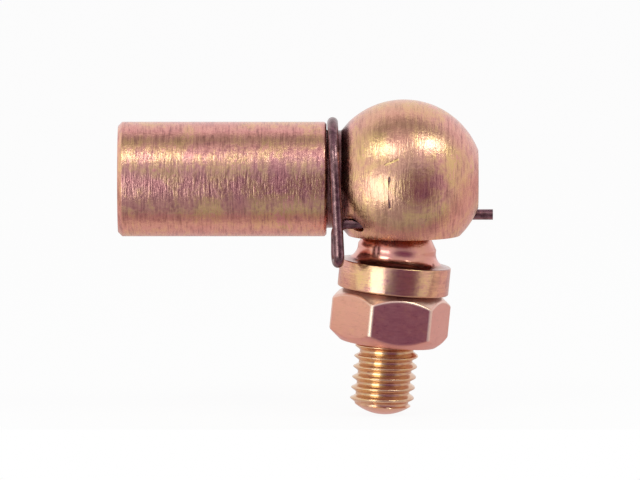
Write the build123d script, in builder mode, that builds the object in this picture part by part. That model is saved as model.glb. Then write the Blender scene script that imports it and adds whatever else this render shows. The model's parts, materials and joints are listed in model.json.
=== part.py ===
from build123d import *
from math import acos, atan2, cos, degrees, hypot, radians, sin, sqrt, tan
import os

# Angle ball joint, ball size 10, thread M6. All sizes are in millimetres.
# The socket is turned from bar: a shank with a blind rod thread, a neck, and a round head whose
# cavity opens downwards. The ball stud snaps into it past a snap ring and swivels there, and a
# bent wire safety catch passes under the ball and clips round the neck. A nut clamps the lever.
# Origin: centre of the rod thread's mouth. +X runs along the shank to the ball, +Z is up.

# ---- driving dimensions ----

# thread, the same for the rod, the stud and the nut
thread_diameter = 6.0
tap_drill_diameter = 5.0

# ball socket
shank_diameter = 10.8
shank_length = 19.65
shank_chamfer = 0.4
thread_mouth_chamfer = 0.5
rod_bore_depth = 14.0
drill_point_angle = 118.0
neck_width = 1.4
head_wall = 2.45
head_bevel = 0.7
head_flat_diameter = 5.4
mouth_land = 0.26

# ball stud, with lengths along it from the ball's centre
ball_diameter = 10.0
ball_clearance = 0.05
stud_lean = 5.7
stud_taper_angle = 30.0
stud_neck_diameter = 7.4
stud_neck_fillet = 1.3
collar_diameter = 10.5
collar_height = 2.65
collar_edge = 0.15
seat_length = 10.6
thread_length = 10.6
tip_height = 1.2

# hex nut
nut_width = 10.0
nut_height = 5.0
nut_chamfer_angle = 40.0
nut_face_diameter = 9.0
nut_turn = -10.8
nut_thread_clearance = 0.05
nut_mouth_chamfer = 0.35
nut_seat_gap = 0.05

# snap ring
ring_wire = 0.7
ring_wall = 0.55
ring_opening_angle = 35.0
ring_clearance = 0.05

# safety catch
catch_wire = 1.0
catch_hole_diameter = 1.5
catch_angle = 48.2
catch_crank = 0.35
catch_ball_gap = 0.2
catch_neck_gap = 0.25
catch_side_gap = 0.07
catch_bend = 1.0
catch_tilt = 2.9
catch_reach = 1.45
catch_tail = 2.2
loop_drop = 7.37
loop_width = 1.9
loop_skew = 0.3

# ---- places worked out from them ----

shank_radius = shank_diameter / 2
ball_radius = ball_diameter / 2
cavity_radius = ball_radius + ball_clearance
head_radius = cavity_radius + head_wall
thread_radius = thread_diameter / 2
bore_radius = tap_drill_diameter / 2
catch_radius = catch_wire / 2

neck_end = shank_length + neck_width
head_back = neck_end + head_bevel
ball_x = head_back + sqrt(head_radius**2 - shank_radius**2)
front_radius = head_flat_diameter / 2
front_x = ball_x + sqrt(head_radius**2 - front_radius**2)
ball_centre = Vector(ball_x, 0, 0)
upright = Axis(ball_centre, (0, 0, 1))
ball_section = Plane(origin=ball_centre, x_dir=(1, 0, 0), z_dir=(0, -1, 0))

# The mouth is faced until a narrow land is left round the cavity.
mouth_drop = sqrt(head_radius**2 - (cavity_radius + mouth_land) ** 2)

# The catch's leg passes below and beside the ball, so that the ball can't drop out. The ring of
# wire is a little smaller, and the neck takes its size from it.
leg_reach = ball_radius + catch_ball_gap + catch_radius
leg_offset = leg_reach * sin(radians(catch_angle))
catch_drop = leg_reach * cos(radians(catch_angle))
clip_radius = leg_reach - catch_crank
neck_radius = clip_radius - catch_radius - catch_neck_gap

# The snap ring lies above the catch's holes and below the ball's widest place, a clearance away
# from the ball, and its groove is deep enough for the ring to open over the ball.
groove_radius = ball_radius + ring_wire + ring_clearance
groove_half = ring_wire / 2 + ring_clearance
ring_drop = catch_drop - catch_hole_diameter / 2 - ring_wall - groove_half
ring_reach = ball_radius + ring_clearance + ring_wire / 2
ring_radius = sqrt(ring_reach**2 - ring_drop**2)

# ---- ball socket ----

with BuildPart() as ball_socket:
    with BuildSketch(Plane.XZ):
        with BuildLine():
            back = Polyline(
                (0, 0),
                (0, shank_radius - shank_chamfer),
                (shank_chamfer, shank_radius),
                (shank_length - shank_chamfer / 2, shank_radius),
                (shank_length, shank_radius - shank_chamfer / 2),
                (shank_length, neck_radius),
                (neck_end, neck_radius),
                (head_back, shank_radius),
            )
            crown = ThreePointArc(back @ 1, (ball_x, head_radius), (front_x, front_radius))
            Polyline(crown @ 1, (front_x, 0), (0, 0))
        make_face()
    revolve(axis=Axis.X)

    # flat face round the mouth
    with BuildSketch(Plane.XY.offset(-mouth_drop)):
        with Locations((ball_x, 0)):
            Circle(ball_x - neck_end)
    extrude(amount=-head_radius, mode=Mode.SUBTRACT)

    # ball cavity, with the snap ring's groove
    with BuildSketch(ball_section):
        with BuildLine():
            CenterArc((0, 0), cavity_radius, 0, 90)
            Polyline(
                (0, cavity_radius),
                (0, -head_radius),
                (cavity_radius, -head_radius),
                (cavity_radius, -ring_drop - groove_half),
                (groove_radius, -ring_drop - groove_half),
                (groove_radius, -ring_drop + groove_half),
                (cavity_radius, -ring_drop + groove_half),
                (cavity_radius, 0),
            )
        make_face()
    revolve(axis=upright, mode=Mode.SUBTRACT)

    # blind bore for the rod thread
    drill_point = bore_radius / tan(radians(drill_point_angle / 2))
    with BuildSketch(Plane.XZ):
        with BuildLine():
            Polyline(
                (0, 0),
                (0, bore_radius + thread_mouth_chamfer),
                (thread_mouth_chamfer, bore_radius),
                (rod_bore_depth, bore_radius),
                (rod_bore_depth + drill_point, 0),
                close=True,
            )
        make_face()
    revolve(axis=Axis.X, mode=Mode.SUBTRACT)

    # the leg's hole runs through the head, and the tail's hole stops in the mouth
    for side, depth in ((1, front_x - neck_end), (-1, ball_x - neck_end)):
        with BuildSketch(Plane.YZ.offset(neck_end)):
            with Locations((side * leg_offset, -catch_drop)):
                Circle(catch_hole_diameter / 2)
        extrude(amount=depth, mode=Mode.SUBTRACT)

ball_socket.part.label = "ball_socket"

# ---- snap ring ----

with BuildPart() as snap_ring:
    with BuildSketch(ball_section):
        with Locations((ring_radius, -ring_drop)):
            Circle(ring_wire / 2)
    revolve(axis=upright, revolution_arc=360 - ring_opening_angle)

snap_ring.part.label = "snap_ring"

# ---- ball stud, leaning towards the shank ----

lean = radians(stud_lean)
stud_direction = Vector(-sin(lean), 0, -cos(lean))
stud_across = Vector(cos(lean), 0, -sin(lean))
stud_axis = Axis(ball_centre, stud_direction)
stud_section = Plane(origin=ball_centre, x_dir=stud_across, z_dir=(0, 1, 0))

taper = radians(stud_taper_angle)
stud_neck_radius = stud_neck_diameter / 2
collar_radius = collar_diameter / 2
collar_top = seat_length - collar_height
fillet_centre = (stud_neck_radius + stud_neck_fillet, collar_top - stud_neck_fillet)
thread_end = seat_length + thread_length
tip_radius = (thread_radius**2 + tip_height**2) / (2 * tip_height)
tip_centre = thread_end + tip_height - tip_radius
tip_angle = degrees(atan2(thread_end - tip_centre, thread_radius))

with BuildPart() as ball_stud:
    with BuildSketch(stud_section):
        with BuildLine():
            CenterArc((0, 0), ball_radius, -90, 180 - stud_taper_angle)
            Polyline(
                (ball_radius * sin(taper), ball_radius * cos(taper)),
                (stud_neck_radius, stud_neck_radius / tan(taper)),
                (stud_neck_radius, collar_top - stud_neck_fillet),
            )
            CenterArc(fillet_centre, stud_neck_fillet, 180, -90)
            Polyline(
                (stud_neck_radius + stud_neck_fillet, collar_top),
                (collar_radius - collar_edge, collar_top),
                (collar_radius, collar_top + collar_edge),
                (collar_radius, seat_length - collar_edge),
                (collar_radius - collar_edge, seat_length),
                (thread_radius, seat_length),
                (thread_radius, thread_end),
            )
            CenterArc((0, tip_centre), tip_radius, tip_angle, 90 - tip_angle)
            Line((0, thread_end + tip_height), (0, -ball_radius))
        make_face()
    revolve(axis=stud_axis)

ball_stud.part.label = "ball_stud"

# ---- hex nut, run up to the collar ----

nut_top = seat_length + nut_seat_gap
nut_bottom = nut_top + nut_height
nut_bore_radius = thread_radius + nut_thread_clearance
nut_corner_radius = nut_width / 2 / cos(radians(30))
nut_face_radius = nut_face_diameter / 2
nut_bevel = (nut_corner_radius - nut_face_radius) * tan(radians(nut_chamfer_angle))
nut_seat = Plane(
    origin=ball_centre + stud_direction * nut_top, x_dir=stud_across, z_dir=stud_direction
)

with BuildPart() as hex_nut:
    with BuildSketch(nut_seat):
        RegularPolygon(nut_width / 2, 6, major_radius=False, rotation=nut_turn)
    extrude(amount=nut_height)

    # both faces are turned to a cone that takes the corners off
    with BuildSketch(stud_section):
        with BuildLine():
            Polyline(
                (0, nut_top),
                (nut_face_radius, nut_top),
                (nut_corner_radius, nut_top + nut_bevel),
                (nut_corner_radius, nut_bottom - nut_bevel),
                (nut_face_radius, nut_bottom),
                (0, nut_bottom),
                close=True,
            )
        make_face()
    revolve(axis=stud_axis, mode=Mode.INTERSECT)

    with BuildSketch(stud_section):
        with BuildLine():
            Polyline(
                (0, nut_top),
                (nut_bore_radius + nut_mouth_chamfer, nut_top),
                (nut_bore_radius, nut_top + nut_mouth_chamfer),
                (nut_bore_radius, nut_bottom - nut_mouth_chamfer),
                (nut_bore_radius + nut_mouth_chamfer, nut_bottom),
                (0, nut_bottom),
                close=True,
            )
        make_face()
    revolve(axis=stud_axis, mode=Mode.SUBTRACT)

hex_nut.part.label = "hex_nut"

# ---- safety catch ----

# The wire's ring lies in a plane that leans off the shank, so that its loop stands clear.
# In that plane the first coordinate is along Y and the second is up.
tilt = radians(catch_tilt)
clip_top_x = shank_length + catch_side_gap + catch_radius
clip_plane = Plane(
    origin=(clip_top_x + clip_radius * tan(tilt), 0, 0),
    x_dir=(0, 1, 0),
    z_dir=(cos(tilt), 0, sin(tilt)),
)


def clip_point(across, up):
    return clip_plane.from_local_coords(Vector(across, up, 0))


def tangent_angle(across, up, turn):
    """The angle on the ring where a straight run from the point meets it, turn 1 or -1 way on."""
    return atan2(up, across) + turn * acos(clip_radius / hypot(across, up))


leg_corner = (leg_offset, -catch_drop / cos(tilt))
loop_corner = (-leg_offset - loop_width, -loop_drop / cos(tilt))
ring_begin = tangent_angle(*leg_corner, 1)
ring_end = tangent_angle(*loop_corner, -1) + radians(360)
ring_middle = (ring_begin + ring_end) / 2
ring_points = [
    clip_point(clip_radius * cos(angle), clip_radius * sin(angle))
    for angle in (ring_begin, ring_middle, ring_end)
]
tip = Vector(front_x + catch_reach, leg_offset, -catch_drop)
loop_outside = clip_point(*loop_corner)
loop_inside = Vector(loop_outside.X - loop_skew, -leg_offset, -loop_drop)
tail_corner = Vector(loop_inside.X, -leg_offset, -catch_drop)
tail_end = Vector(head_back + catch_tail, -leg_offset, -catch_drop)
loop_bend = 0.45 * (loop_inside - loop_outside).length

with BuildPart() as safety_catch:
    with BuildLine() as catch_path:
        FilletPolyline(tip, clip_point(*leg_corner), ring_points[0], radius=catch_bend)
        ThreePointArc(*ring_points)
        FilletPolyline(
            ring_points[2],
            loop_outside,
            loop_inside,
            tail_corner,
            tail_end,
            radius=[loop_bend, loop_bend, catch_bend],
        )
    with BuildSketch(Plane(origin=tip, z_dir=(-1, 0, 0))):
        Circle(catch_radius)
    sweep(path=catch_path.wires()[0])

safety_catch.part.label = "safety_catch"

# ---- export ----

os.makedirs("parts", exist_ok=True)
for piece in (ball_socket, snap_ring, ball_stud, hex_nut, safety_catch):
    export_step(piece.part, f"parts/{piece.part.label}.step")
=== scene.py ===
import json
from math import atan2, ceil, cos, degrees, hypot, pi, radians, sin, sqrt, tan

import bmesh
import bpy
from mathutils import Matrix, Vector


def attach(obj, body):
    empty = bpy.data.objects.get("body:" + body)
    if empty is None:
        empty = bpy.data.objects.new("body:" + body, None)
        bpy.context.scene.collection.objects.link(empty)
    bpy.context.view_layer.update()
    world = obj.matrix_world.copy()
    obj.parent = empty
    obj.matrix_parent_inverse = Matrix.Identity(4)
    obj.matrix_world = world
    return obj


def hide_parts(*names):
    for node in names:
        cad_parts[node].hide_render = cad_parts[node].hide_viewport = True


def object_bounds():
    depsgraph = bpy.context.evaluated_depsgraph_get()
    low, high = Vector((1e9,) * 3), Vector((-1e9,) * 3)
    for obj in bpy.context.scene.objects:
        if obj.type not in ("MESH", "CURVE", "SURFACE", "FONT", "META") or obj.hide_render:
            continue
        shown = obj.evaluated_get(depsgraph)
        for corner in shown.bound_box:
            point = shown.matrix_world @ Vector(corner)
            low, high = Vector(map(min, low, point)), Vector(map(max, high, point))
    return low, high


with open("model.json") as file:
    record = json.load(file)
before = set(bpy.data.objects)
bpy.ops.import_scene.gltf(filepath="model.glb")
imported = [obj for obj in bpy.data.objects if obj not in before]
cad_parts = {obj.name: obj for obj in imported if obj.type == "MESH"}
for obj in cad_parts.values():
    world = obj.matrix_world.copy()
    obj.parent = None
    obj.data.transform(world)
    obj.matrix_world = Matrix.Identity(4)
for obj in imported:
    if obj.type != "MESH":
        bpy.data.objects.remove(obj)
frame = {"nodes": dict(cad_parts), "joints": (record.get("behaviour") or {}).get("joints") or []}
cad_low, cad_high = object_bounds()

# Looks for the angle ball joint. Lengths are in millimetres and become metres where a mesh or the
# camera is made, apart from those of the floor and the lamps, which are in metres. +X runs along
# the shank to the ball, +Z is up, and the camera looks along +Y.

MM = 0.001
ORIGIN = Vector((0, 0, 0))
X = Vector((1, 0, 0))
Y = Vector((0, 1, 0))
Z = Vector((0, 0, 1))
JOINTS = {joint["name"]: joint for joint in frame["joints"]}
BALL_CENTRE = Vector(JOINTS["stud_swing"]["pos_m"]) / MM
STUD_DOWN = Vector(JOINTS["nut_travel"]["axis"]).normalized()
STUD_ACROSS = STUD_DOWN.cross(Y)

# ---- sizes, as in the solids ----

SHANK_RADIUS = 5.4
SHANK_LENGTH = 19.65
SHANK_CHAMFER = 0.4
NECK_RADIUS = 4.6
NECK_END = 21.05
HEAD_RADIUS = 7.5
FRONT_RADIUS = 2.7
CAVITY_RADIUS = 5.05
MOUTH_DROP = 5.297
MOUTH_FACE_RADIUS = 5.9
GROOVE_RADIUS = 5.75
GROOVE_TOP = 1.699
GROOVE_BOTTOM = 2.499
DRILL_RADIUS = 2.5
BORE_DEPTH = 14.0
DRILL_POINT = DRILL_RADIUS / tan(radians(59))
CATCH_OFFSET = 4.249
CATCH_DROP = 3.799
CATCH_HOLE_RADIUS = 0.75
LEG_HOLE_DEPTH = 15.0
TAIL_HOLE_DEPTH = 5.9

BALL_RADIUS = 5.0
STUD_TAPER = radians(30)
STUD_NECK_RADIUS = 3.7
STUD_NECK_FILLET = 1.3
COLLAR_RADIUS = 5.25
COLLAR_TOP = 7.95
SEAT = 10.6
THREAD_END = 21.2
TIP_HEIGHT = 1.2

NUT_TOP = 10.65
NUT_HEIGHT = 5.0
NUT_HALF_WIDTH = 5.0
NUT_FACE_RADIUS = 4.5
NUT_CHAMFER = radians(40)
NUT_MOUTH_RADIUS = 3.4
NUT_TURN = -10.8

# ---- what only the looks have: threads and rounded edges ----

# Metric thread M6. Off the crest's middle, the flank runs from 1/16 to 3/8 of a pitch.
PITCH = 1.0
THREAD_RADIUS = 3.0
THREAD_DEPTH = 0.48
FLANK_TOP = 1 / 16
FLANK_FOOT = 3 / 8
BORE_THREAD_END = BORE_DEPTH - 1.0
BORE_RUN_OUT = 1.5
STUD_THREAD_START = SEAT + 0.6
STUD_THREAD_STOP = THREAD_END + 0.5
STUD_RUN_IN = 1.0
NUT_THREAD_PLAY = 0.08

SOCKET_EDGE = 0.12
COLLAR_EDGE = 0.16
NUT_EDGE = 0.35
NUT_CORNER_RADIUS = 0.42
NUT_CORNER_CENTRE = (NUT_HALF_WIDTH - NUT_CORNER_RADIUS) / cos(pi / 6)
BORE_RIM = 0.02
LIP_START = MOUTH_DROP - 0.1
LIP_END = MOUTH_DROP + 0.4
LIP_WIDTH = 0.5

# The cutters for the mouth end here, past the head.
MOUTH_CLEAR = 8.5

# ---- mesh fineness ----

STEPS_ROUND = 144
ROWS_PER_TURN = 16
FILLET_STEPS = 4
HEAD_STEPS = 72
CAVITY_STEPS = 40
BALL_STEPS = 60
NECK_STEPS = 10
TIP_STEPS = 12
NUT_CORNER_STEPS = 8
NUT_FLAT_STEPS = 14
FILLET_SHARE = 0.45
MERGE_DISTANCE = 2e-7
SHARP_ANGLE = radians(32)


# ---- profiles, as points (along, out) from a piece's own axis ----


def arc(centre, radius, start, end, steps):
    """Points on an arc, with angles in degrees from the along direction."""
    angles = [radians(start + (end - start) * i / steps) for i in range(steps + 1)]
    return [(centre[0] + radius * cos(a), centre[1] + radius * sin(a)) for a in angles]


def soften(points, radius):
    """The polyline with each inner corner turned into an arc, smaller where a run is short."""
    out = [points[0]]
    for before, corner, after in zip(points, points[1:], points[2:]):
        back = Vector(before) - Vector(corner)
        on = Vector(after) - Vector(corner)
        half = back.angle(on) / 2
        reach = min(radius / tan(half), FILLET_SHARE * back.length, FILLET_SHARE * on.length)
        middle = (back.normalized() + on.normalized()).normalized()
        centre = Vector(corner) + middle * (reach / cos(half))
        spoke = Vector(corner) + back.normalized() * reach - centre
        last = Vector(corner) + on.normalized() * reach - centre
        sweep = atan2(spoke.x * last.y - spoke.y * last.x, spoke.dot(last))
        start = atan2(spoke.y, spoke.x)
        out += arc(centre, spoke.length, degrees(start), degrees(start + sweep), FILLET_STEPS)
    out.append(points[-1])
    return out


def ease(value, low, high):
    """0 below low, 1 above high, and smooth between them."""
    t = min(max((value - low) / (high - low), 0.0), 1.0)
    return t * t * (3 - 2 * t)


def thread_rows(turn, start, end, zero, out_at):
    """Points down a metric thread at one angle, with turn as a share of a full turn.

    The rows follow the helix, so that its crest is a clean line. out_at(along, ridge) gives the
    radius, and ridge goes from 0 in the root to 1 on the crest. zero is where the helix starts.
    """
    rows = []
    for k in range(-ROWS_PER_TURN, (ceil((end - start) / PITCH) + 1) * ROWS_PER_TURN + 1):
        along = start + PITCH * (k / ROWS_PER_TURN + turn)
        along = min(max(along, start), end)
        place = ((along - zero) / PITCH - turn) % 1.0
        off_crest = min(place, 1.0 - place)
        ridge = (FLANK_FOOT - off_crest) / (FLANK_FOOT - FLANK_TOP)
        rows.append((along, out_at(along, min(max(ridge, 0.0), 1.0))))
    return rows


# ---- meshes ----


def skin(name, columns):
    """A closed mesh over columns of points. The last column lies on the first one."""
    mesh = bmesh.new()
    made = [[mesh.verts.new(Vector(point) * MM) for point in column] for column in columns]
    for left, right in zip(made, made[1:]):
        for j in range(len(left) - 1):
            mesh.faces.new((left[j], left[j + 1], right[j + 1], right[j]))
    bmesh.ops.remove_doubles(mesh, verts=mesh.verts, dist=MERGE_DISTANCE)
    bmesh.ops.recalc_face_normals(mesh, faces=mesh.faces)
    data = bpy.data.meshes.new(name)
    mesh.to_mesh(data)
    mesh.free()
    piece = bpy.data.objects.new(name, data)
    bpy.context.scene.collection.objects.link(piece)
    return piece


def turned(name, profile, origin, axis, across):
    """A solid of revolution. profile(turn) gives the points at a share of a turn."""
    side = axis.cross(across)
    columns = []
    for i in range(STEPS_ROUND + 1):
        turn = i / STEPS_ROUND
        out = across * cos(2 * pi * turn) + side * sin(2 * pi * turn)
        columns.append([origin + axis * s + out * r for s, r in profile(turn)])
    return skin(name, columns)


def cut(piece, cutter):
    """Takes the cutter's shape out of the piece, and removes the cutter."""
    modifier = piece.modifiers.new("cut", "BOOLEAN")
    modifier.operation = "DIFFERENCE"
    modifier.solver = "MANIFOLD"
    modifier.object = cutter
    bpy.context.view_layer.update()
    with bpy.context.temp_override(object=piece, active_object=piece):
        bpy.ops.object.modifier_apply(modifier=modifier.name)
    bpy.data.objects.remove(cutter)


def dress(piece, material, body, node_name):
    """Smooth shading that keeps sharp edges, the material, and the calls that place the piece."""
    with bpy.context.temp_override(object=piece, selected_editable_objects=[piece]):
        bpy.ops.object.shade_smooth_by_angle(angle=SHARP_ANGLE)
    piece.data.materials.clear()
    piece.data.materials.append(material)
    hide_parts(node_name)
    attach(piece, body)


# ---- node trees ----


def node(tree, kind, settings=None, **inputs):
    """A shader node. An input is a value or another node's output, and i0 means the first one."""
    made = tree.nodes.new(kind)
    for name, value in (settings or {}).items():
        setattr(made, name, value)
    for name, value in inputs.items():
        key = int(name[1:]) if name[1:].isdigit() else name.replace("_", " ")
        if isinstance(value, bpy.types.NodeSocket):
            tree.links.new(value, made.inputs[key])
        else:
            made.inputs[key].default_value = value
    return made


def clear_tree(owner):
    """The empty node tree of a material or a world."""
    owner.use_nodes = True
    owner.node_tree.nodes.clear()
    return owner.node_tree


def maths(tree, operation, first, second=0.0):
    return node(tree, "ShaderNodeMath", {"operation": operation}, i0=first, i1=second).outputs[0]


def total(tree, *terms):
    """The sum of (share, value) terms."""
    result = 0.0
    for share, value in terms:
        result = maths(tree, "ADD", result, maths(tree, "MULTIPLY", value, share))
    return result


def squares(tree, first, second):
    """The sum of two squares."""
    return maths(tree, "ADD", maths(tree, "POWER", first, 2.0), maths(tree, "POWER", second, 2.0))


def spread(tree, value, low, high):
    """The value carried from low..high to 0..1, and clamped."""
    return node(tree, "ShaderNodeMapRange", i0=value, i1=low, i2=high).outputs[0]


def between(tree, value, low, full, fade, high):
    """1 from full to fade, and down to 0 at low and at high."""
    return maths(tree, "MULTIPLY", spread(tree, value, low, full), spread(tree, value, high, fade))


def vector_maths(tree, operation, first, second):
    made = node(tree, "ShaderNodeVectorMath", {"operation": operation}, i0=first, i1=second)
    return made.outputs["Value" if operation in ("DOT_PRODUCT", "DISTANCE") else "Vector"]


def scaled(tree, vector, factor):
    settings = {"operation": "SCALE"}
    return node(tree, "ShaderNodeVectorMath", settings, i0=vector, Scale=factor).outputs[0]


def split(tree, vector):
    """The three parts of a vector."""
    return node(tree, "ShaderNodeSeparateXYZ", i0=vector).outputs


def grey(level):
    return (level, level, level)


def opaque(colour):
    """A colour with its alpha. Another node's output is left as it is."""
    return (*colour, 1.0) if isinstance(colour, tuple) else colour


def ramp(tree, value, stops, interpolation="EASE"):
    """A colour ramp over the value, with stops as (position, colour)."""
    made = node(tree, "ShaderNodeValToRGB", Fac=value)
    band = made.color_ramp
    band.interpolation = interpolation
    while len(band.elements) < len(stops):
        band.elements.new(1.0)
    for element, (position, colour) in zip(band.elements, stops):
        element.position = position
        element.color = opaque(colour)
    return made.outputs["Color"]


def blend(tree, share, first, second, kind="MIX"):
    """The first colour with a share of the second one."""
    settings = {"data_type": "RGBA", "blend_type": kind}
    made = node(tree, "ShaderNodeMix", settings, i0=share, i6=opaque(first), i7=opaque(second))
    return made.outputs[2]


def noise(tree, vector, scale, detail=2.0, roughness=0.5, distortion=0.0, w=None):
    """Noise about 0.5. With w it has a fourth dimension."""
    settings = {"noise_dimensions": "3D" if w is None else "4D"}
    inputs = {"Vector": vector, "Scale": scale, "Detail": detail, "Roughness": roughness}
    if w is not None:
        inputs["W"] = w
    return node(tree, "ShaderNodeTexNoise", settings, Distortion=distortion, **inputs).outputs["Fac"]


def own_place(tree, origin, axis, across):
    """A point's place in a piece's own frame, in millimetres: along, across and to the side."""
    turn = Matrix([axis[:], across[:], axis.cross(across)[:]]).to_euler()
    spot = node(tree, "ShaderNodeTexCoord").outputs["Object"]
    shifted = vector_maths(tree, "SUBTRACT", spot, tuple(origin * MM))
    own = node(tree, "ShaderNodeMapping", Vector=shifted, Rotation=turn).outputs[0]
    return scaled(tree, own, 1 / MM)


def lathe_noise(tree, parts, fine, drift):
    """Noise in rings round the axis. fine is per millimetre across the rings, drift round them."""
    along, across, side = parts
    out = maths(tree, "SQRT", maths(tree, "ADD", squares(tree, across, side), 0.01))
    vector = node(
        tree,
        "ShaderNodeCombineXYZ",
        i0=maths(tree, "MULTIPLY", along, fine),
        i1=maths(tree, "MULTIPLY", out, fine),
        i2=maths(tree, "MULTIPLY", maths(tree, "DIVIDE", across, out), drift),
    ).outputs[0]
    round_it = maths(tree, "MULTIPLY", maths(tree, "DIVIDE", side, out), drift)
    return noise(tree, vector, 1.0, detail=3.0, roughness=0.6, w=round_it)


def near_line(tree, spot, start, end, width):
    """1 on the line from start to end, and 0 a width away from it."""
    run = Vector(end) - Vector(start)
    away = vector_maths(tree, "SUBTRACT", spot, start)
    share = vector_maths(tree, "DOT_PRODUCT", away, tuple(run))
    share = spread(tree, share, 0.0, run.length_squared)
    apart = vector_maths(tree, "DISTANCE", away, scaled(tree, tuple(run), share))
    return spread(tree, apart, width, 0.4 * width)


# ---- colours ----

PINK = (0.84, 0.42, 0.35)
ROSE = (0.78, 0.35, 0.31)
GOLD = (0.86, 0.50, 0.31)
STRAW = (0.86, 0.58, 0.27)
BRASS = (0.72, 0.57, 0.33)
MAUVE = (0.64, 0.28, 0.28)
PLUM = (0.52, 0.21, 0.24)
VIOLET = (0.36, 0.14, 0.25)
# A dark colour for painted shade in necks and corners, and for the real dark scratch.
DARK_SHADE_AND_SCRATCH = (0.16, 0.08, 0.09)
# The nut's edges: bare metal, and partly a painted highlight.
BARE_EDGE_AND_HIGHLIGHT = (0.96, 0.80, 0.68)

# The plating's own colours, which its noise runs through.
SOCKET_STOPS = [
    (0.0, MAUVE),
    (0.22, ROSE),
    (0.42, PINK),
    (0.6, GOLD),
    (0.74, STRAW),
    (0.88, PINK),
    (1.0, ROSE),
]
STUD_STOPS = [
    (0.0, VIOLET),
    (0.2, PLUM),
    (0.36, PINK),
    (0.5, GOLD),
    (0.66, STRAW),
    (0.82, GOLD),
    (1.0, PINK),
]
NUT_STOPS = [(0.0, ROSE), (0.3, PINK), (0.7, PINK), (1.0, GOLD)]

# The thin film's colours, from a surface that faces the viewer (0) to one seen at a slant.
FILM_STOPS = [
    (0.0, VIOLET),
    (0.10, PLUM),
    (0.18, GOLD),
    (0.24, STRAW),
    (0.34, GOLD),
    (0.44, PINK),
    (0.64, ROSE),
]

# Bands along a piece's axis, as (along, colour, share): painted shade in the necks and in the
# creases by the collar, and what the film shows more of on one part of a piece.
SOCKET_BANDS = [
    (19.5, DARK_SHADE_AND_SCRATCH, 0.0),
    (19.7, DARK_SHADE_AND_SCRATCH, 0.85),
    (21.5, DARK_SHADE_AND_SCRATCH, 0.85),
    (21.9, DARK_SHADE_AND_SCRATCH, 0.0),
    (23.6, STRAW, 0.28),
    (27.6, STRAW, 0.28),
    (30.5, GOLD, 0.0),
]
STUD_BANDS = [
    (4.2, DARK_SHADE_AND_SCRATCH, 0.4),
    (4.8, ROSE, 0.6),
    (7.7, ROSE, 0.7),
    (7.8, DARK_SHADE_AND_SCRATCH, 0.5),
    (7.95, DARK_SHADE_AND_SCRATCH, 0.5),
    (8.05, STRAW, 0.12),
    (10.5, STRAW, 0.12),
    (10.58, DARK_SHADE_AND_SCRATCH, 0.9),
    (11.0, BRASS, 0.5),
    (21.0, BRASS, 0.5),
    (22.0, PINK, 0.7),
]
NUT_BANDS = [(10.6, PINK, 0.3), (11.5, PINK, 0.0)]

# Two scratches on the head, as (start, end, width, colour).
SOCKET_SCRATCHES = [
    ((25.54, -7.32, 0.8), (25.56, -7.1, -2.0), 0.15, DARK_SHADE_AND_SCRATCH),
    ((25.2, -6.97, 2.0), (26.3, -7.03, 2.5), 0.16, STRAW),
]

# How much bare metal and painted highlight show on the nut's edges, and how much rougher its corners
# are.
RIM_WEAR_AND_HIGHLIGHT = 0.5
BEVEL_WEAR_AND_HIGHLIGHT = 0.6
CORNER_WEAR_AND_HIGHLIGHT = 0.65
WORN_ROUGHNESS = 0.12

# The wires, as node: (colour, roughness).
WIRES = {
    "safety_catch": ((0.30, 0.16, 0.18), 0.26),
    "snap_ring": ((0.35, 0.32, 0.30), 0.3),
}


# ---- materials ----


def new_metal(name):
    material = bpy.data.materials.new(name)
    tree = clear_tree(material)
    shader = node(tree, "ShaderNodeBsdfPrincipled", Metallic=1.0)
    node(tree, "ShaderNodeOutputMaterial", Surface=shader.outputs["BSDF"])
    return material, tree, shader


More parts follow.
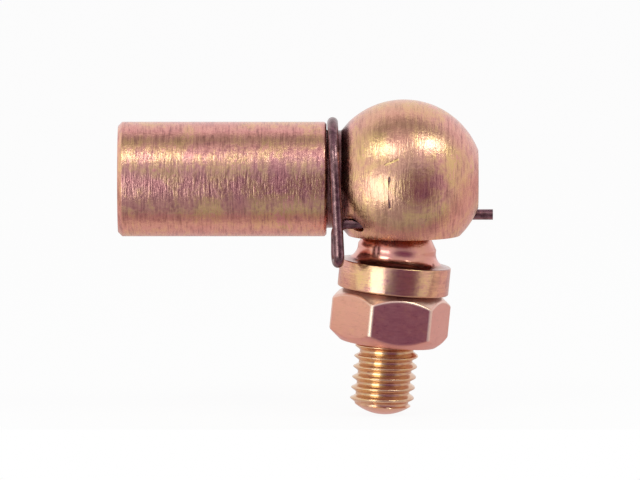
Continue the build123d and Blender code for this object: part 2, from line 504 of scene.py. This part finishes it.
def turned_zinc(
    name, origin, axis, across, spin, stops, bands, scratches, rough, streaks, dents, film
):
    """Turned steel, zinc plated, with the pink, gold and plum cast of yellow passivation.

    The piece is turned about axis, and spin names the object's own axis that lies nearest to it.
    streaks and dents are the depths of the lathe's rings and of the dents, and film is the share
    of the thin film's colours, which turn with the angle of view.
    """
    material, tree, shader = new_metal(name)
    spot = own_place(tree, origin, axis, across)
    parts = split(tree, spot)
    fine = lathe_noise(tree, parts, fine=8.0, drift=4.0)
    rings = lathe_noise(tree, parts, fine=2.6, drift=3.0)
    wide = lathe_noise(tree, parts, fine=0.7, drift=1.2)
    cloud = noise(tree, spot, 0.28, detail=4.0, roughness=0.6, distortion=0.8)
    speck = noise(tree, spot, 3.0, detail=3.0, roughness=0.6)
    stain = noise(tree, spot, 1.1, detail=5.0, roughness=0.7)

    # the plating's colour, plum stains, and the film over them
    hue = total(tree, (0.9, cloud), (0.4, rings), (0.45, wide), (0.3, fine), (0.25, speck))
    colour = ramp(tree, spread(tree, hue, 0.90, 1.42), stops)
    stained = maths(tree, "MULTIPLY", spread(tree, stain, 0.60, 0.76), 0.4)
    colour = blend(tree, stained, colour, PLUM)
    slant = node(tree, "ShaderNodeLayerWeight", Blend=0.5).outputs["Facing"]
    slant = total(tree, (1.0, slant), (0.25, cloud), (0.15, speck), (1.0, -0.2))
    colour = blend(tree, film, colour, ramp(tree, slant, FILM_STOPS))

    # the rings' own light and dark
    shade = spread(tree, total(tree, (0.5, fine), (0.35, rings), (0.15, speck)), 0.35, 0.65)
    dim = grey(0.92 - 0.3 * streaks)
    bright = grey(1.03 + 0.1 * streaks)
    shade = ramp(tree, shade, [(0, dim), (0.6, grey(1.0)), (1, bright)])
    colour = blend(tree, 1.0, colour, shade, "MULTIPLY")

    # bands along the axis: colour zones, and painted shade in the necks and creases
    first = bands[0][0]
    last = bands[-1][0]
    place = spread(tree, parts[0], first, last)
    tints = []
    shares = []
    for along, tint, share in bands:
        position = (along - first) / (last - first)
        tints.append((position, tint))
        shares.append((position, grey(share)))
    tint = ramp(tree, place, tints, "LINEAR")
    share = ramp(tree, place, shares, "LINEAR")
    colour = blend(tree, share, colour, tint)

    # painted shade in the tight corners, from local ambient occlusion, and the scratches
    settings = {"only_local": True}
    open_to = node(tree, "ShaderNodeAmbientOcclusion", settings, Distance=0.25 * MM)
    painted_shade = spread(tree, open_to.outputs["AO"], 0.75, 0.25)
    colour = blend(tree, maths(tree, "MULTIPLY", painted_shade, 0.85), colour, DARK_SHADE_AND_SCRATCH)
    marks = 0.0
    for start, end, width, tint in scratches:
        mark = near_line(tree, spot, start, end, width)
        colour = blend(tree, mark, colour, tint)
        marks = maths(tree, "ADD", marks, mark)
    tree.links.new(colour, shader.inputs["Base Color"])

    roughness = total(tree, (0.25, fine), (0.2, stain), (1.0, rough - 0.22))
    tree.links.new(roughness, shader.inputs["Roughness"])
    shader.inputs["Anisotropic"].default_value = 0.4
    shader.inputs["Anisotropic Rotation"].default_value = 0.25
    tangent = node(tree, "ShaderNodeTangent", {"direction_type": "RADIAL", "axis": spin})
    tree.links.new(tangent.outputs[0], shader.inputs["Tangent"])

    height = total(
        tree, (streaks, rings), (0.6 * streaks, fine), (dents, stain), (0.6 * dents, speck)
    )
    height = total(tree, (1.0, height), (-1.0, marks))
    bump = node(tree, "ShaderNodeBump", Height=height, Strength=0.8, Distance=0.05 * MM)
    tree.links.new(bump.outputs[0], shader.inputs["Normal"])
    return material


def wear_and_highlight_edges(material, origin, axis, across):
    """Bare metal where a spanner rubs, partly a painted highlight: a pale colour on the nut's
    corners and round its upper chamfer.
    """
    tree = material.node_tree
    shader = next(made for made in tree.nodes if made.type == "BSDF_PRINCIPLED")

    # A corner is known by its radius. On the upper side the normal leans up the stud: a little on
    # the edge where a flat ends, and more on the chamfer.
    parts = split(tree, own_place(tree, origin, axis, across))
    out = maths(tree, "SQRT", squares(tree, parts[1], parts[2]))
    start = hypot(NUT_HALF_WIDTH, NUT_CORNER_CENTRE / 2)
    corner = spread(tree, out, start - 0.02, start + 0.02)
    normal = node(tree, "ShaderNodeTexCoord").outputs["Normal"]
    upward = vector_maths(tree, "DOT_PRODUCT", normal, tuple(-axis))
    rim = between(tree, upward, 0.04, 0.2, 0.55, 0.74)
    bevel = between(tree, upward, 0.70, 0.75, 0.80, 0.84)

    # painted highlight and wear, in one pale colour
    wear_and_highlight = maths(tree, "MULTIPLY", rim, RIM_WEAR_AND_HIGHLIGHT)
    for share, place in ((BEVEL_WEAR_AND_HIGHLIGHT, bevel), (CORNER_WEAR_AND_HIGHLIGHT, corner)):
        wear_and_highlight = maths(tree, "MAXIMUM", wear_and_highlight, maths(tree, "MULTIPLY", place, share))
    colour = blend(tree, wear_and_highlight, shader.inputs["Base Color"].links[0].from_socket, BARE_EDGE_AND_HIGHLIGHT)
    tree.links.new(colour, shader.inputs["Base Color"])
    rough = shader.inputs["Roughness"].links[0].from_socket
    rough = maths(tree, "ADD", rough, maths(tree, "MULTIPLY", corner, WORN_ROUGHNESS))
    tree.links.new(rough, shader.inputs["Roughness"])


def wire_steel(name, colour, rough):
    """Drawn spring wire, with a dark oxide that is thinner in places."""
    material, tree, shader = new_metal(name)
    spot = own_place(tree, ORIGIN, X, Y)
    mottle = noise(tree, spot, 2.0, detail=4.0, roughness=0.6)
    grain = noise(tree, spot, 9.0)
    dark = tuple(0.45 * level for level in colour)
    tint = ramp(tree, spread(tree, mottle, 0.35, 0.65), [(0, dark), (1, colour)])
    tree.links.new(tint, shader.inputs["Base Color"])
    roughness = total(tree, (0.3, grain), (1.0, rough - 0.15))
    tree.links.new(roughness, shader.inputs["Roughness"])
    bump = node(tree, "ShaderNodeBump", Height=grain, Strength=0.4, Distance=0.02 * MM)
    tree.links.new(bump.outputs[0], shader.inputs["Normal"])
    return material


# ---- ball socket ----


def socket_profile(turn):
    back = sqrt(HEAD_RADIUS**2 - SHANK_RADIUS**2)
    front = sqrt(HEAD_RADIUS**2 - FRONT_RADIUS**2)
    start = 180 - degrees(atan2(SHANK_RADIUS, back))
    end = degrees(atan2(FRONT_RADIUS, front))
    crown = arc((BALL_CENTRE.x, 0), HEAD_RADIUS, start, end, HEAD_STEPS)
    outside = soften(
        [
            (0, THREAD_RADIUS + BORE_RIM),
            (0, SHANK_RADIUS - SHANK_CHAMFER),
            (SHANK_CHAMFER, SHANK_RADIUS),
            (SHANK_LENGTH - SHANK_CHAMFER / 2, SHANK_RADIUS),
            (SHANK_LENGTH, SHANK_RADIUS - SHANK_CHAMFER / 2),
            (SHANK_LENGTH, NECK_RADIUS),
            (NECK_END, NECK_RADIUS),
            crown[0],
            crown[1],
        ],
        SOCKET_EDGE,
    )

    def out_at(along, ridge):
        fade = ease(along, BORE_THREAD_END - BORE_RUN_OUT, BORE_THREAD_END)
        return max(DRILL_RADIUS + THREAD_DEPTH * (1 - fade) * ridge, THREAD_RADIUS - along)

    bore = thread_rows(turn, 0, BORE_THREAD_END, 0, out_at)
    bore += [(BORE_DEPTH, DRILL_RADIUS), (BORE_DEPTH + DRILL_POINT, 0)]
    nose = [(BALL_CENTRE.x + front, 0)]
    return nose + crown[:1:-1] + outside[::-1] + bore


def make_socket():
    socket = turned("socket_body", socket_profile, ORIGIN, X, Z)
    facing = [
        (MOUTH_DROP, 0),
        (MOUTH_DROP, MOUTH_FACE_RADIUS),
        (MOUTH_CLEAR, MOUTH_FACE_RADIUS),
        (MOUTH_CLEAR, 0),
    ]
    cut(socket, turned("facing", lambda turn: facing, BALL_CENTRE, -Z, X))
    cavity = arc((0, 0), CAVITY_RADIUS, 180, 90, CAVITY_STEPS) + [
        (GROOVE_TOP, CAVITY_RADIUS),
        (GROOVE_TOP, GROOVE_RADIUS),
        (GROOVE_BOTTOM, GROOVE_RADIUS),
        (GROOVE_BOTTOM, CAVITY_RADIUS),
        (LIP_START, CAVITY_RADIUS),
        (LIP_END, CAVITY_RADIUS + LIP_WIDTH),
        (MOUTH_CLEAR, CAVITY_RADIUS + LIP_WIDTH),
        (MOUTH_CLEAR, 0),
    ]
    cut(socket, turned("cavity", lambda turn: cavity, BALL_CENTRE, -Z, X))
    for side, depth in ((1, LEG_HOLE_DEPTH), (-1, TAIL_HOLE_DEPTH)):
        hole = [(0, 0), (0, CATCH_HOLE_RADIUS), (depth, CATCH_HOLE_RADIUS), (depth, 0)]
        start = Vector((NECK_END, side * CATCH_OFFSET, -CATCH_DROP))
        cut(socket, turned("hole", lambda turn: hole, start, X, Z))
    material = turned_zinc(
        "zinc_socket",
        ORIGIN,
        X,
        Y,
        spin="X",
        stops=SOCKET_STOPS,
        bands=SOCKET_BANDS,
        scratches=SOCKET_SCRATCHES,
        rough=0.25,
        streaks=1.0,
        dents=0.8,
        film=0.4,
    )
    dress(socket, material, "socket", "ball_socket")


# ---- ball stud ----


def make_stud():
    tip_radius = (THREAD_RADIUS**2 + TIP_HEIGHT**2) / (2 * TIP_HEIGHT)
    tip_centre = THREAD_END + TIP_HEIGHT - tip_radius
    stop_radius = sqrt(tip_radius**2 - (STUD_THREAD_STOP - tip_centre) ** 2)
    root = THREAD_RADIUS - THREAD_DEPTH
    blank = THREAD_RADIUS - THREAD_DEPTH / 2

    head = arc((0, 0), BALL_RADIUS, 180, degrees(STUD_TAPER), BALL_STEPS)
    head.append((STUD_NECK_RADIUS / tan(STUD_TAPER), STUD_NECK_RADIUS))
    fillet_centre = (COLLAR_TOP - STUD_NECK_FILLET, STUD_NECK_RADIUS + STUD_NECK_FILLET)
    head += arc(fillet_centre, STUD_NECK_FILLET, -90, 0, NECK_STEPS)
    collar = soften(
        [
            head[-1],
            (COLLAR_TOP, COLLAR_RADIUS),
            (SEAT, COLLAR_RADIUS),
            (SEAT, blank),
            (STUD_THREAD_START, blank),
        ],
        COLLAR_EDGE,
    )
    tip_start = degrees(atan2(stop_radius, STUD_THREAD_STOP - tip_centre))
    tip = arc((tip_centre, 0), tip_radius, tip_start, 0, TIP_STEPS)

    def out_at(along, ridge):
        grown = ease(along, STUD_THREAD_START, STUD_THREAD_START + STUD_RUN_IN)
        dome = sqrt(tip_radius**2 - max(along - tip_centre, 0.0) ** 2)
        return min(blank + grown * (root + THREAD_DEPTH * ridge - blank), dome)

    def profile(turn):
        thread = thread_rows(turn, STUD_THREAD_START, STUD_THREAD_STOP, SEAT, out_at)
        return head[:-1] + collar + thread + tip

    stud = turned("stud_body", profile, BALL_CENTRE, STUD_DOWN, STUD_ACROSS)
    material = turned_zinc(
        "zinc_stud",
        BALL_CENTRE,
        STUD_DOWN,
        Y,
        spin="Z",
        stops=STUD_STOPS,
        bands=STUD_BANDS,
        scratches=[],
        rough=0.20,
        streaks=0.25,
        dents=0.2,
        film=0.6,
    )
    dress(stud, material, "stud", "ball_stud")


# ---- hex nut ----


def nut_outline():
    """Points (angle, radius) round the hexagon, whose corners are a little rounded."""
    outline = []
    for side in range(6):
        middle = radians(NUT_TURN + 60 * side)
        for x, y in arc((NUT_CORNER_CENTRE, 0), NUT_CORNER_RADIUS, -30, 30, NUT_CORNER_STEPS):
            outline.append((middle + atan2(y, x), hypot(x, y)))
        for i in range(1, NUT_FLAT_STEPS):
            angle = radians(30) * (-1 + 2 * i / NUT_FLAT_STEPS)
            outline.append((middle + radians(30) + angle, NUT_HALF_WIDTH / cos(angle)))
    outline.sort()
    outline.append((outline[0][0] + 2 * pi, outline[0][1]))
    return outline


def make_nut():
    bottom = NUT_TOP + NUT_HEIGHT
    root = THREAD_RADIUS - THREAD_DEPTH + NUT_THREAD_PLAY

    def out_at(along, ridge):
        depth = min(along - NUT_TOP, bottom - along)
        return max(root + ridge * THREAD_DEPTH, NUT_MOUTH_RADIUS - depth)

    columns = []
    side = STUD_DOWN.cross(STUD_ACROSS)
    for angle, radius in nut_outline():
        bevel = max(radius - NUT_FACE_RADIUS, 0.0) * tan(NUT_CHAMFER)
        rim = [
            (NUT_TOP, NUT_MOUTH_RADIUS),
            (NUT_TOP, NUT_FACE_RADIUS),
            (NUT_TOP + bevel, radius),
            (bottom - bevel, radius),
            (bottom, NUT_FACE_RADIUS),
            (bottom, NUT_MOUTH_RADIUS),
        ]
        bore = thread_rows(angle / (2 * pi), NUT_TOP, bottom, SEAT, out_at)
        profile = soften(rim, NUT_EDGE) + bore[::-1]
        out = STUD_ACROSS * cos(angle) + side * sin(angle)
        columns.append([BALL_CENTRE + STUD_DOWN * s + out * r for s, r in profile])
    nut = skin("nut_body", columns)
    material = turned_zinc(
        "zinc_nut",
        BALL_CENTRE,
        STUD_DOWN,
        Y,
        spin="Z",
        stops=NUT_STOPS,
        bands=NUT_BANDS,
        scratches=[],
        rough=0.32,
        streaks=0.10,
        dents=0.25,
        film=0.4,
    )
    wear_and_highlight_edges(material, BALL_CENTRE, STUD_DOWN, Y)
    dress(nut, material, "nut", "hex_nut")


# ---- wires, which keep the solids' meshes ----


def dress_wires():
    for name, (colour, rough) in WIRES.items():
        wire = frame["nodes"][name]
        wire.data.materials.clear()
        wire.data.materials.append(wire_steel(f"wire_of_{name}", colour, rough))


# ---- floor ----

# In the metal, the floor's near part is darker than the rest. The floor's sizes are in metres.
FLOOR_NEAR = (0.44, 0.29, 0.39)
FLOOR_FAR = (0.71, 0.61, 0.58)
FLOOR_REACH = 1.5
FLOOR_FRONT = -0.012
FLOOR_FADE = (-0.006, -0.002)
FLOOR_PAPER = grey(0.86)
FLOOR_GLOW = 0.92


def make_floor():
    """A pale floor under the part. The camera sees it white, with the part's shadow."""
    data = bpy.data.meshes.new("floor")
    corners = [
        (-FLOOR_REACH, FLOOR_FRONT),
        (FLOOR_REACH, FLOOR_FRONT),
        (FLOOR_REACH, FLOOR_REACH),
        (-FLOOR_REACH, FLOOR_REACH),
    ]
    data.from_pydata([(x, y, cad_low.z) for x, y in corners], [], [(0, 1, 2, 3)])
    floor = bpy.data.objects.new("floor", data)
    bpy.context.scene.collection.objects.link(floor)
    material = bpy.data.materials.new("floor_paper")
    tree = clear_tree(material)
    light = node(tree, "ShaderNodeLightPath").outputs
    spot = node(tree, "ShaderNodeTexCoord").outputs["Object"]
    mirrored = blend(tree, spread(tree, split(tree, spot)[1], *FLOOR_FADE), FLOOR_NEAR, FLOOR_FAR)
    paper = node(tree, "ShaderNodeBsdfDiffuse", Color=opaque(FLOOR_PAPER))
    colour = blend(tree, light["Is Camera Ray"], mirrored, grey(1.0))
    bright = node(tree, "ShaderNodeEmission", Color=colour, Strength=1.0)
    seen = total(tree, (FLOOR_GLOW, light["Is Camera Ray"]), (1.0, light["Is Glossy Ray"]))
    mixed = node(tree, "ShaderNodeMixShader", i0=seen, i1=paper.outputs[0], i2=bright.outputs[0])
    node(tree, "ShaderNodeOutputMaterial", Surface=mixed.outputs[0])
    data.materials.append(material)


# ---- room ----

# How bright the room is that the metal mirrors, along an arc from behind (0) through below (0.25),
# the camera's side (0.5) and overhead (0.75) to behind again.
ROOM_ARC = [
    (0.0, 0.85),
    (0.20, 0.78),
    (0.24, 0.38),
    (0.30, 0.34),
    (0.36, 0.49),
    (0.46, 0.39),
    (0.54, 0.39),
    (0.59, 0.70),
    (0.64, 0.84),
    (0.69, 0.80),
    (0.71, 0.55),
    (0.75, 0.37),
    (0.78, 0.42),
    (0.82, 0.88),
    (1.0, 0.95),
]
OVERHEAD = (1.0, 0.86, 1.0)
WINDOW_GLOW = (0.95, 0.97, 0.93)
SIDE_LEFT = (0.95, 0.93, 0.92)
SIDE_RIGHT = (0.76, 0.71, 0.73)
CAMERA_DARK = (0.24, 0.12, 0.20)


def direction(azimuth, elevation):
    """Azimuth 0 is at the camera's side and 90 at the right, in degrees."""
    a = radians(azimuth)
    e = radians(elevation)
    return Vector((sin(a) * cos(e), -cos(a) * cos(e), sin(e)))


def toward(tree, way_out, azimuth, elevation, outer, inner):
    """1 within the inner angle of a direction, and 0 past the outer one."""
    near = vector_maths(tree, "DOT_PRODUCT", way_out, tuple(direction(azimuth, elevation)))
    return spread(tree, near, cos(radians(outer)), cos(radians(inner)))


def make_world():
    """A room for the metal to mirror: pale behind, at the sides and high in front, else dim."""
    world = bpy.data.worlds.new("studio")
    bpy.context.scene.world = world
    tree = clear_tree(world)
    way_out = node(tree, "ShaderNodeTexCoord").outputs["Generated"]
    x, y, z = split(tree, way_out)
    turn = maths(tree, "ARCTAN2", z, maths(tree, "MULTIPLY", y, -1.0))
    turn = total(tree, (1 / (2 * pi), turn), (1.0, 0.5))
    room = ramp(tree, turn, [(place, grey(level)) for place, level in ROOM_ARC])
    room = blend(tree, spread(tree, z, 0.75, 0.95), room, OVERHEAD, "MULTIPLY")
    room = blend(tree, spread(tree, x, 0.62, 0.92), room, SIDE_RIGHT)
    room = blend(tree, spread(tree, x, -0.50, -0.80), room, SIDE_LEFT)
    room = blend(tree, toward(tree, way_out, -35, 15, outer=36, inner=16), room, WINDOW_GLOW)
    room = blend(tree, toward(tree, way_out, 22, -8, outer=34, inner=14), room, CAMERA_DARK)
    light = node(tree, "ShaderNodeLightPath").outputs
    seen = blend(tree, light["Is Camera Ray"], room, grey(1.0))
    background = node(tree, "ShaderNodeBackground", Color=seen)
    node(tree, "ShaderNodeOutputWorld", Surface=background.outputs[0])


# ---- lamps ----

# As name: (azimuth, elevation, width, height, radiance), with sizes in metres.
LAMPS = {
    "window_left": (-36, 46, 0.09, 0.05, 6.0),
    "window_right": (57, 50, 0.11, 0.055, 6.2),
    "window_low": (-36, -10, 0.13, 0.16, 2.6),
}
LAMP_COLOUR = (0.86, 1.0, 0.84)
LAMP_DISTANCE = 0.25


def make_lamp(name, azimuth, elevation, width, height, radiance):
    """An area lamp that faces the ball."""
    way = direction(azimuth, elevation)
    data = bpy.data.lights.new(name, "AREA")
    data.shape = "RECTANGLE"
    data.size = width
    data.size_y = height
    data.energy = radiance * width * height * pi
    data.color = LAMP_COLOUR
    lamp = bpy.data.objects.new(name, data)
    lamp.location = BALL_CENTRE * MM + way * LAMP_DISTANCE
    lamp.rotation_euler = way.to_track_quat("Z", "Y").to_euler()
    bpy.context.scene.collection.objects.link(lamp)


# ---- camera ----

# The photograph's view: from a little above, with the ball to the right of the picture's middle
# and above it. The lens is longer for a longer distance, so that the part keeps its size.
CAMERA_DISTANCE = 1000
CAMERA_TILT = radians(6)
LENS_PER_DISTANCE = 0.5968
BALL_RIGHT = 7.92
BALL_UP = 5.75


def make_camera():
    data = bpy.data.cameras.new("camera")
    data.lens = LENS_PER_DISTANCE * CAMERA_DISTANCE
    data.clip_start = 0.01
    camera = bpy.data.objects.new("camera", data)
    bpy.context.scene.collection.objects.link(camera)
    look = Vector((0, cos(CAMERA_TILT), -sin(CAMERA_TILT)))
    up = Vector((0, sin(CAMERA_TILT), cos(CAMERA_TILT)))
    aim = BALL_CENTRE - X * BALL_RIGHT - up * BALL_UP
    camera.location = (aim - look * CAMERA_DISTANCE) * MM
    camera.rotation_euler = (pi / 2 - CAMERA_TILT, 0, 0)
    bpy.context.scene.camera = camera


make_socket()
make_stud()
make_nut()
dress_wires()
make_floor()
make_world()
for lamp_name, lamp_settings in LAMPS.items():
    make_lamp(lamp_name, *lamp_settings)
make_camera()
bpy.context.scene.view_settings.view_transform = "Standard"
